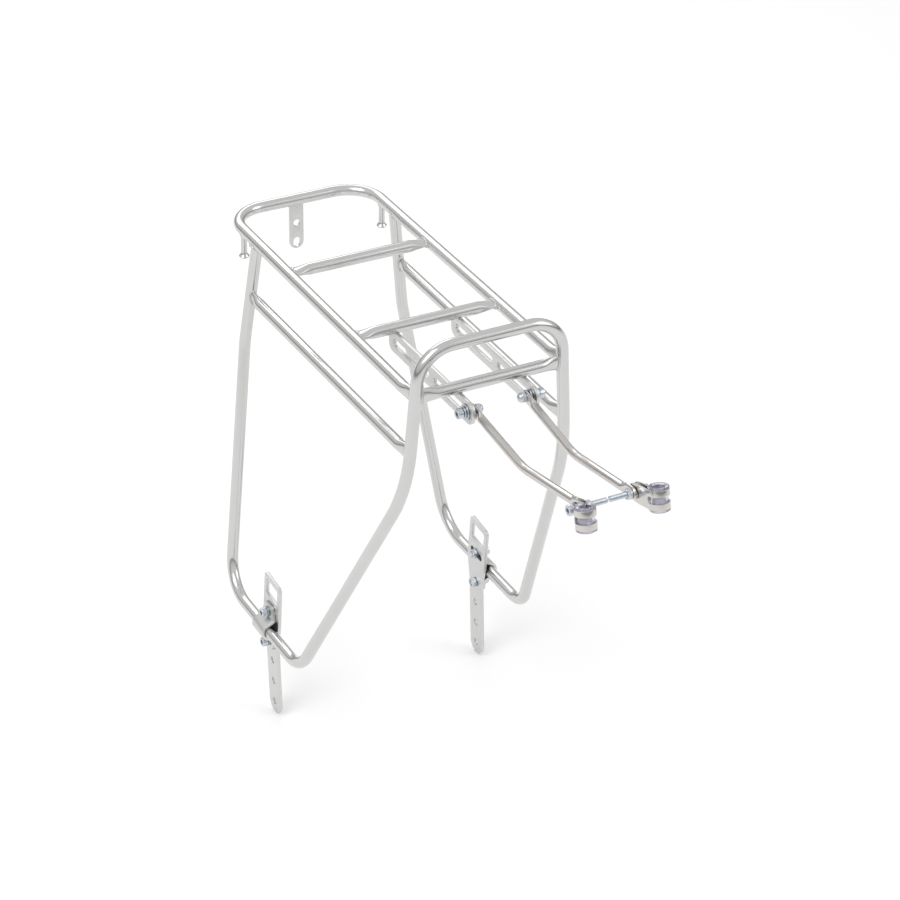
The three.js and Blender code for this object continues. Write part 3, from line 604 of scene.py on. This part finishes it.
def build_peg(name, side):
    """The short peg under the deck with a round knob at its foot, and its weld."""
    bottom = PEG_BOTTOM_Z
    profile = [(bottom, 3.8), (bottom + 0.3, 4.2), (bottom + 0.8, 4.4), (bottom + 1.6, 4.4),
               (bottom + 2.3, 3.9), (bottom + 3.4, 3), (bottom + 4.8, 2.65), (-2, PEG_R)]
    bm = skin(bmesh.new(), lathe(profile, 32))
    bm.transform(Matrix.Translation((RAIL_X, PEG_Y, 0)) @ Matrix.Rotation(-math.pi / 2, 4, "Y"))
    to_object(f"{name} peg", bm, "polished_tube", "rack_frame", [f"{name}_peg"], side)
    weld_path_r = 2.8
    bead_r = 0.8
    steps = 40
    rings = []
    for i in range(steps):
        angle = 2 * math.pi * i / steps
        spoke = Vector((math.cos(angle), math.sin(angle), 0))
        height = -math.sqrt(TUBE_R ** 2 - (PEG_R * spoke.x) ** 2) - 0.1
        centre = Vector((RAIL_X, PEG_Y, height)) + spoke * weld_path_r
        rings.append(ring_about(centre, spoke, Z_AXIS, bead_r, 10))
    to_object(f"{name} peg weld", skin(bmesh.new(), rings, closed=True), "weld", "rack_frame",
              side=side, sharp=WELD_SHARP)


# ---- fasteners, each along +X with its seat at x = 0 -------------------------------------
M5 = {"shank_r": 2.4, "head_r": 4.2, "head_height": 4.8, "key_flats": 4, "key_depth": 2.6,
      "pitch": 0.8}
BORE_R = 2.7
NUT_FLATS = 8
NUT_HEIGHT = 4


def hexagon(across_flats, limit=1000.0):
    """Radius of a hexagon at an angle, cut off at a limiting radius."""
    def radius(angle):
        within = (angle + math.pi / 6) % (math.pi / 3) - math.pi / 6
        return min(limit, across_flats / 2 / math.cos(within))
    return radius


def thread(shank_r, depth, pitch, start, end, lead):
    """Profile rings of a thread, from start to end, with both ends eased off."""
    rings = []
    steps = int((end - start) / pitch * 6)
    for i in range(steps + 1):
        x = start + (end - start) * i / steps

        def radius(angle, x=x):
            phase = (x / pitch - angle / (2 * math.pi)) % 1
            ease = min(1, (x - start) / lead, (end - x) / lead)
            return shank_r - depth * abs(2 * phase - 1) * max(0, ease)
        rings.append((x, radius))
    return rings


def cap_bolt(shank_r, length, head_r, head_height, key_flats, key_depth, pitch):
    """A threaded bolt with a round head and a hexagon socket."""
    top = head_height
    profile = [(-length, 0.2), (-length, shank_r - 0.7)]
    profile += thread(shank_r - 0.02, 0.45, pitch, -length + 0.5, -0.6, 0.5)
    profile += [(0, shank_r), (0, head_r - 0.3), (0.3, head_r), (top - 0.6, head_r),
                (top - 0.2, head_r - 0.2), (top, head_r - 0.6),
                (top, hexagon(key_flats + 0.5)), (top - 0.25, hexagon(key_flats)),
                (top - key_depth, hexagon(key_flats)), (top - key_depth - 0.5, 0.2)]
    return skin(bmesh.new(), lathe(profile))


def washer(bore_r, outer_r, thickness):
    edge = 0.15
    profile = [(0, bore_r), (0, outer_r - edge), (edge, outer_r), (thickness - edge, outer_r),
               (thickness, outer_r - edge), (thickness, bore_r)]
    return skin(bmesh.new(), lathe(profile), closed=True)


def hex_nut(bore_r, flats, height):
    corner = flats / math.sqrt(3)
    profile = [(0, bore_r + 0.2), (0, hexagon(flats, flats / 2)), (0.5, hexagon(flats, corner)),
               (height - 0.5, hexagon(flats, corner)), (height, hexagon(flats, flats / 2)),
               (height, bore_r + 0.4), (height - 0.4, bore_r), (0.4, bore_r)]
    return skin(bmesh.new(), lathe(profile, 72), closed=True)


def dome_nut(bore_r, flats, hex_height, dome_r, height):
    corner = flats / math.sqrt(3)
    profile = [(hex_height + 0.8, 0.2), (hex_height, bore_r), (0.3, bore_r), (0, bore_r + 0.3),
               (0, hexagon(flats, flats / 2 + 0.1)), (0.4, hexagon(flats, corner)),
               (hex_height - 0.4, hexagon(flats, corner)), (hex_height, hexagon(flats, dome_r))]
    rise = height - hex_height
    for i in range(1, 12):
        angle = math.radians(90 * i / 12)
        profile.append((hex_height + rise * math.sin(angle), dome_r * math.cos(angle)))
    profile.append((height, 0.15))
    return skin(bmesh.new(), lathe(profile, 72))


def fasten(name, part, bm, x, y, z, body, side, inward=False):
    """Places a fastener on a side, pointing outward, or inward for a nut's dome."""
    bm.transform(Matrix.Diagonal((-1 if inward else 1, 1, 1, 1)))
    bm.transform(Matrix.Translation((x, y, z)))
    label = f"{name} {part.replace('_', ' ')}"
    to_object(label, bm, "zinc_fastener", body, [f"{name}_{part}"], side, sharp=30)


def build_slot_set(name, side):
    """The bolt through a slotted plate and the eye of a stay, with its washers and dome nut."""
    body = f"{name}_slot_bolt_set"
    y, z = SLOT_BOLT
    face = SLOT_PLATE_X + SLOT_PLATE_THICK / 2
    stack = [("slot_washer", washer(BORE_R, outer_r=6.4, thickness=1.2), face + 0.3),
             ("slot_lock_washer", washer(BORE_R, outer_r=4.6, thickness=1.5), face + 1.8),
             ("slot_bolt", cap_bolt(length=14, **M5), face + 3.6),
             ("slot_inner_washer", washer(BORE_R, outer_r=5.2, thickness=1.4), 24.75)]
    for part, bm, x in stack:
        fasten(name, part, bm, x, y, z, body, side)
    nut = dome_nut(BORE_R, NUT_FLATS, hex_height=3.4, dome_r=3.7, height=6.2)
    fasten(name, "slot_dome_nut", nut, 21.3, y, z, body, side, inward=True)


# ---- stays -------------------------------------------------------------------------------
def boolean(bm, cutters, operation="DIFFERENCE"):
    """Cuts a closed mesh with closed cutters, or keeps what they share."""
    def temporary(source):
        mesh = bpy.data.meshes.new("temporary")
        bmesh.ops.recalc_face_normals(source, faces=source.faces)
        source.to_mesh(mesh)
        source.free()
        item = bpy.data.objects.new("temporary", mesh)
        bpy.context.scene.collection.objects.link(item)
        return item
    base = temporary(bm)
    tools = [temporary(cutter) for cutter in cutters]
    for tool in tools:
        modifier = base.modifiers.new("cut", "BOOLEAN")
        modifier.operation = operation
        modifier.solver = "EXACT"
        modifier.object = tool
    graph = bpy.context.evaluated_depsgraph_get()
    mesh = bpy.data.meshes.new_from_object(base.evaluated_get(graph))
    result = bmesh.new()
    result.from_mesh(mesh)
    for item in [base, *tools]:
        data = item.data
        bpy.data.objects.remove(item)
        bpy.data.meshes.remove(data)
    bpy.data.meshes.remove(mesh)
    return result


def cross_pin(x, y, z, radius, half=6, segments=40):
    """A round cutter along X."""
    bm = skin(bmesh.new(), lathe([(-half, radius), (half, radius)], segments))
    bm.transform(Matrix.Translation((x, y, z)))
    return bm


EYE_REACH = 25
EYE_FLAT_END = 7
EYE_ROUND_START = 14.5
EYE_SQUARENESS = 0.35


def flattened(rings, centre, towards):
    """Presses one end of a rod into a round-ended flat eye about a bolt's centre."""
    along = (towards - centre).normalized()
    across = Vector((0, -along.z, along.y)).normalized()
    side = along.cross(across)
    flat = STAY_FLAT_THICK / 2 / STAY_R
    shaped = []
    for ring in rings:
        new_ring = []
        for point in ring:
            t = (point - centre).dot(along)
            if t > EYE_REACH:
                new_ring.append(point)
                continue
            squeeze = 1 - smoothstep(t, EYE_FLAT_END, EYE_ROUND_START)
            end = math.sqrt(max(0.01, 1 - (t / STAY_FLAT_R) ** 2)) if t < 0 else 1
            thin = 1 + (flat - 1) * squeeze
            wide = (1 + (STAY_FLAT_R / STAY_R - 1) * squeeze) * end
            limit = STAY_R * thin
            s = (point - centre).dot(side) * (1 + EYE_SQUARENESS * squeeze) * thin
            s = max(-limit, min(limit, s))
            w = (point - centre).dot(across) * wide
            new_ring.append(centre + along * t + across * w + side * s)
        shaped.append(new_ring)
    return shaped


def build_stay(name, side):
    """The bent rod from a slotted plate to a seat-stay clamp, with a flat eye at each end."""
    rear = Vector((STAY_REAR_X, *SLOT_BOLT))
    bend = Vector(((STAY_REAR_X + STAY_FRONT_X) / 2, *STAY_BEND))
    front = Vector((STAY_FRONT_X, *CLAMP_BOLT))
    corners = [rear + (rear - bend).normalized() * STAY_FLAT_R, bend,
               front + (front - bend).normalized() * STAY_FLAT_R]
    rings = sweep(bent_path(corners, [STAY_BEND_R], arc_step=2, run_step=0.6), STAY_R, 32)
    rings = flattened(flattened(rings, rear, bend), front, bend)
    eyes = [cross_pin(*rear, BOLT_HOLE_R), cross_pin(*front, BOLT_HOLE_R)]
    bm = boolean(skin(bmesh.new(), rings), eyes)
    to_object(f"{name} stay", bm, "stainless_stay", f"{name}_front_stay", [f"{name}_stay"],
              side, sharp=40)


# ---- seat-stay clamp ---------------------------------------------------------------------
def clamp_place():
    """Where the clamp's own frame sits: its loop's axis is local Z and its bolt is at +Y."""
    y = CLAMP_BOLT[0] - CLAMP_ARM * math.cos(CLAMP_TILT)
    z = CLAMP_BOLT[1] + CLAMP_ARM * math.sin(CLAMP_TILT)
    return Matrix.Translation((CLAMP_LOOP_X, y, z)) @ Matrix.Rotation(-CLAMP_TILT, 4, "X")


def block(x0, x1, y0, y1, z0, z1):
    """A box between two opposite corners."""
    rings = [[Vector((x, y0, z0)), Vector((x, y1, z0)), Vector((x, y1, z1)), Vector((x, y0, z1))]
             for x in (x0, x1)]
    return skin(bmesh.new(), rings)


def band():
    """The folded strap: a loop with two ears to the bolt, a waist and two windows."""
    outer = BAND_INNER_R + BAND_THICK
    tip = CLAMP_ARM + 6.5
    steps = 72
    ear_far = -3.4
    ear_near = ear_far - BAND_THICK
    outline = [Vector((ear_far, tip))]

    def ring(radius, start, end):
        for i in range(steps + 1):
            angle = start + (end - start) * i / steps
            outline.append(Vector((radius * math.sin(angle), radius * math.cos(angle))))

    ring(outer, math.asin(ear_far / outer), 1.5 * math.pi)
    outline.extend([Vector((-outer, tip)), Vector((-BAND_INNER_R, tip))])
    ring(BAND_INNER_R, 1.5 * math.pi, math.asin(ear_near / BAND_INNER_R))
    outline.append(Vector((ear_near, tip)))
    strip = plate(outline, [], BAND_HEIGHT, edge=0.2)
    beyond = BAND_HEIGHT / 2 + 1
    back = -12
    shoulder = 7.5
    ear_half = 6.3
    profile = facing_x(plate(rounded([
        (back, -beyond, 0), (shoulder, -beyond, 0), (tip, -ear_half, 5), (tip, ear_half, 5),
        (shoulder, beyond, 0), (back, beyond, 0)]), [], THROUGH), 0)
    strip = boolean(strip, [profile], "INTERSECT")

    def window(y0, y1, depth, x):
        half, corner = 2.7, 2.4
        outline = rounded([(y0, -half, 0), (y1, -half, corner), (y1, half, corner),
                           (y0, half, 0)])
        return facing_x(plate(outline, [], depth), x)

    hole = cross_pin(0, CLAMP_ARM, 0, BOLT_HOLE_R, half=20)
    return boolean(strip, [window(-13, 3, THROUGH, 0), window(2.5, 9.4, 3, -outer), hole])


def sleeve():
    """The clear liner inside the band, lipped at both ends and split between the ears."""
    wall = BAND_INNER_R - 0.15
    seat = BAND_HEIGHT / 2 + 0.15
    end = BAND_HEIGHT / 2 + 1.7
    lip = 8
    profile = [(-end, 5.2), (-end, lip - 0.5), (-end + 0.4, lip - 0.1), (-seat - 0.3, lip),
               (-seat, lip - 0.3), (-seat, wall), (seat, wall), (seat, lip - 0.3),
               (seat + 0.3, lip), (end - 0.4, lip - 0.1), (end, lip - 0.5), (end, 5.2),
               (end - 0.2, 5), (-end + 0.2, 5)]
    bm = skin(bmesh.new(), lathe(profile, 64), closed=True)
    bm.transform(Matrix.Rotation(-math.pi / 2, 4, "Y"))
    return boolean(bm, [block(-4.4, -2.8, 1, 13, -20, 20)])


def build_clamp(name, side):
    body = f"{name}_seat_stay_clamp"
    y, z = CLAMP_BOLT
    strap = ("band", band(), "stainless_stay")
    liner = ("sleeve", sleeve(), "clear_vinyl")
    for part, bm, finish in (strap, liner):
        bm.transform(clamp_place())
        to_object(f"{name} clamp {part}", bm, finish, body, [f"{name}_clamp_{part}"], side)
    stack = [("clamp_washer", washer(BORE_R, outer_r=4.9, thickness=1), CLAMP_WASHER_X),
             ("clamp_bolt", cap_bolt(length=28, **M5), CLAMP_HEAD_X),
             ("clamp_nut", hex_nut(BORE_R, NUT_FLATS, NUT_HEIGHT), CLAMP_NUT_X)]
    for part, bm, x in stack:
        fasten(name, part, bm, x, y, z, body, side)


# ---- dropout plate and saddle ------------------------------------------------------------
def on_plate(distance, offset):
    """A point of the plate, up (+) or down (-) its axis from its knee, offset forward (-)."""
    tilt = PLATE_UPPER_TILT if distance >= 0 else -PLATE_LOWER_TILT
    y = PLATE_KNEE_Y - distance * math.sin(tilt) + offset * math.cos(tilt)
    z = HEEL.z + distance * math.cos(tilt) + offset * math.sin(tilt)
    return y, z


def dropout_plate():
    """The long bent plate with a window, a cross slot and a ladder of eyelets."""
    wide = 15
    narrow = 10.5
    end = -LOWEST_EYELET - narrow
    outline = rounded([
        (*on_plate(PLATE_UPPER_LENGTH, -wide), 5), (*on_plate(PLATE_UPPER_LENGTH, wide), 4),
        (*on_plate(6, wide), 8), (*on_plate(-16, narrow), 8),
        (*on_plate(end + narrow, narrow), 0)])
    bottom = on_plate(-LOWEST_EYELET, 0)
    outline += arc(bottom, narrow, -PLATE_LOWER_TILT, -math.pi - PLATE_LOWER_TILT, 36)[1:]
    outline += rounded([
        (*on_plate(-LOWEST_EYELET, -narrow), 0), (*on_plate(-14, -narrow), 8),
        (*on_plate(4, -wide), 5), (*on_plate(PLATE_UPPER_LENGTH - 6, -wide), 0)])[1:-1]
    low, high, half, corner = 27.5, 43.3, 10.6, 2
    window = rounded([(*on_plate(low, -half), corner), (*on_plate(low, half), corner),
                      (*on_plate(high, half), corner), (*on_plate(high, -half), corner)])
    slot_half = 7
    slot = slot_outline(on_plate(SADDLE_BOLT_OFFSET, -slot_half),
                        on_plate(SADDLE_BOLT_OFFSET, slot_half), EYELET_R)
    holes = [circle(on_plate(-SADDLE_BOLT_OFFSET - i * EYELET_PITCH, 0), EYELET_R)
             for i in range(EYELET_COUNT)]
    return facing_x(plate(outline, [window, slot, *holes], PLATE_THICK),
                    PLATE_INNER_X + PLATE_THICK / 2)


SADDLE_THICK = 2.5
SADDLE_WIDTH = 21
SADDLE_HALF_HEIGHT = 22.5
SADDLE_INNER_X = PLATE_INNER_X + PLATE_THICK + 0.3
BOLT_Y = on_plate(-SADDLE_BOLT_OFFSET, 0)[0]


def saddle():
    """A pressed strap: flat flanges, and a half-round hump that holds the lower tube."""
    flank = math.pi / 3
    inner_r = TUBE_R + 0.25
    outer_r = inner_r + SADDLE_THICK
    flange_x = SADDLE_INNER_X + SADDLE_THICK

    def height(radius, x):
        arc_x = HEEL.x + radius * math.cos(flank)
        return radius * math.sin(flank) + (arc_x - x) / math.tan(flank)

    top = SADDLE_HALF_HEIGHT
    inner_foot = height(inner_r, SADDLE_INNER_X)
    outer_foot = height(outer_r, flange_x)
    outline = [Vector((SADDLE_INNER_X, top)), Vector((SADDLE_INNER_X, inner_foot))]
    outline += arc((HEEL.x, 0), inner_r, flank, -flank, 32)
    outline += [Vector((SADDLE_INNER_X, -inner_foot)), Vector((SADDLE_INNER_X, -top)),
                Vector((flange_x, -top)), Vector((flange_x, -outer_foot))]
    outline += arc((HEEL.x, 0), outer_r, -flank, flank, 32)
    outline += [Vector((flange_x, outer_foot)), Vector((flange_x, top))]
    bm = plate(outline, [], SADDLE_WIDTH, edge=0.4)
    bm.transform(Matrix.Translation((0, BOLT_Y, HEEL.z)) @ Matrix.Rotation(math.pi / 2, 4, "X"))
    half = SADDLE_WIDTH / 2
    low_y, high_y = BOLT_Y - half - 0.1, BOLT_Y + half + 0.1
    low_z, high_z = HEEL.z - top - 0.1, HEEL.z + top + 0.1
    waist = 9.5
    taper = 3.5
    face = facing_x(plate(rounded([
        (low_y + taper, low_z, 4), (high_y - taper, low_z, 4), (high_y, HEEL.z - waist, 2),
        (high_y, HEEL.z + waist, 2), (high_y - taper, high_z, 4), (low_y + taper, high_z, 4),
        (low_y, HEEL.z + waist, 2), (low_y, HEEL.z - waist, 2)]), [], THROUGH),
        PLATE_INNER_X + 10)
    bm = boolean(bm, [face], "INTERSECT")
    pins = [cross_pin(flange_x, BOLT_Y, HEEL.z + sign * SADDLE_BOLT_OFFSET, BOLT_HOLE_R)
            for sign in (-1, 1)]
    return boolean(bm, pins)


def build_dropout(name, side):
    body = f"{name}_dropout_set"
    to_object(f"{name} dropout plate", dropout_plate(), "satin_plate", body,
              [f"{name}_dropout_plate"], side)
    to_object(f"{name} saddle clamp", saddle(), "satin_plate", body,
              [f"{name}_saddle_clamp"], side)
    face = SADDLE_INNER_X + SADDLE_THICK
    for level, sign, length in (("upper", 1, 12.2), ("lower", -1, 11)):
        z = HEEL.z + sign * SADDLE_BOLT_OFFSET
        stack = [("washer", washer(BORE_R, outer_r=4.5, thickness=1), face + 0.3),
                 ("bolt", cap_bolt(length=length, **M5), face + 1.6),
                 ("nut", hex_nut(BORE_R, NUT_FLATS, NUT_HEIGHT), PLATE_INNER_X - 4.3)]
        for part, bm, x in stack:
            fasten(name, f"{level}_saddle_{part}", bm, x, BOLT_Y, z, body, side)


build_frame()
for side_name, side_sign in SIDES:
    build_slot_set(side_name, side_sign)
    build_stay(side_name, side_sign)
    build_clamp(side_name, side_sign)
    build_dropout(side_name, side_sign)


# ---- studio ------------------------------------------------------------------------------
def build_floor():
    """A wide, flat, pale floor half a millimetre below the object's lowest point."""
    material, tree, shader = new_material("studio floor")
    speckle = noise(tree, scale=3, detail=2)
    tree.links.new(tinted(tree, speckle, (0.93, 0.93, 0.93), (0.95, 0.95, 0.95)),
                   shader.inputs["Base Color"])
    shader.inputs["Roughness"].default_value = 0.9
    level = cad_bounds[0].z - 0.0005
    reach = 6
    bm = bmesh.new()
    corners = [(-reach, -reach), (reach, -reach), (reach, reach), (-reach, reach)]
    bm.faces.new([bm.verts.new((x, y, level)) for x, y in corners])
    mesh = bpy.data.meshes.new("floor")
    bm.to_mesh(mesh)
    bm.free()
    mesh.materials.append(material)
    floor = bpy.data.objects.new("floor", mesh)
    bpy.context.scene.collection.objects.link(floor)


def build_sky():
    """A white surround with soft grey bands, which the polished tubes mirror as thin lines."""
    world = bpy.data.worlds.new("studio")
    bpy.context.scene.world = world
    world.use_nodes = True
    tree = world.node_tree
    background = next(node for node in tree.nodes if node.type == "BACKGROUND")
    coordinates = tree.nodes.new("ShaderNodeTexCoord")
    split = tree.nodes.new("ShaderNodeSeparateXYZ")
    bands = tree.nodes.new("ShaderNodeValToRGB")
    tree.links.new(coordinates.outputs["Generated"], split.inputs["Vector"])
    height = tree.nodes.new("ShaderNodeMapRange")
    height.inputs["From Min"].default_value = -1
    height.inputs["From Max"].default_value = 1
    tree.links.new(split.outputs["Z"], height.inputs["Value"])
    tree.links.new(height.outputs["Result"], bands.inputs["Fac"])
    stops = [(0.0, 0.9), (0.46, 0.85), (0.5, 0.25), (0.53, 0.22), (0.57, 0.8), (0.75, 1.0),
             (1.0, 1.0)]
    while len(bands.color_ramp.elements) < len(stops):
        bands.color_ramp.elements.new(0.5)
    for element, (position, grey) in zip(bands.color_ramp.elements, stops):
        element.position = position
        element.color = (grey, grey, grey, 1)
    tree.links.new(bands.outputs["Color"], background.inputs["Color"])
    background.inputs["Strength"].default_value = 0.85


def area_light(name, place, width, height, power):
    """A rectangular light in metres and watts, turned towards the middle of the rack."""
    aim = (0, 0, 0.2)
    light = bpy.data.lights.new(name, "AREA")
    light.shape = "RECTANGLE"
    light.size = width
    light.size_y = height
    light.energy = power
    lamp = bpy.data.objects.new(name, light)
    lamp.location = place
    lamp.rotation_euler = (Vector(aim) - Vector(place)).to_track_quat("-Z", "Y").to_euler()
    bpy.context.scene.collection.objects.link(lamp)


def build_camera():
    """Looks from the rack's front right, a little above it, rolled about one degree."""
    azimuth = math.radians(-28.462)
    elevation = math.radians(31.233)
    roll = math.radians(1.067)
    focal_over_frame = 3.1656
    sensor = 36
    place = Vector((-930.5, -1653.8, 1086.5))
    level = Vector((math.cos(azimuth), math.sin(azimuth), 0))
    back = Vector((math.sin(azimuth) * math.cos(elevation),
                   -math.cos(azimuth) * math.cos(elevation), math.sin(elevation)))
    upright = back.cross(level)
    right = level * math.cos(roll) + upright * math.sin(roll)
    up = upright * math.cos(roll) - level * math.sin(roll)
    data = bpy.data.cameras.new("camera")
    data.sensor_width = sensor
    data.lens = sensor * focal_over_frame
    data.clip_end = 50
    camera = bpy.data.objects.new("camera", data)
    turn = Matrix((right, up, back)).transposed().to_4x4()
    camera.matrix_world = Matrix.Translation((place - ORIGIN) * MM) @ turn
    bpy.context.scene.collection.objects.link(camera)
    bpy.context.scene.camera = camera


build_floor()
build_sky()
area_light("key", (-1.6, -0.6, 2.4), width=1.6, height=1.6, power=22)
area_light("fill", (1.8, -1.4, 1.6), width=1.4, height=1.4, power=9)
area_light("rear", (0.3, 2.2, 1.8), width=1.6, height=1.0, power=10)
build_camera()
bpy.context.scene.view_settings.view_transform = "Standard"
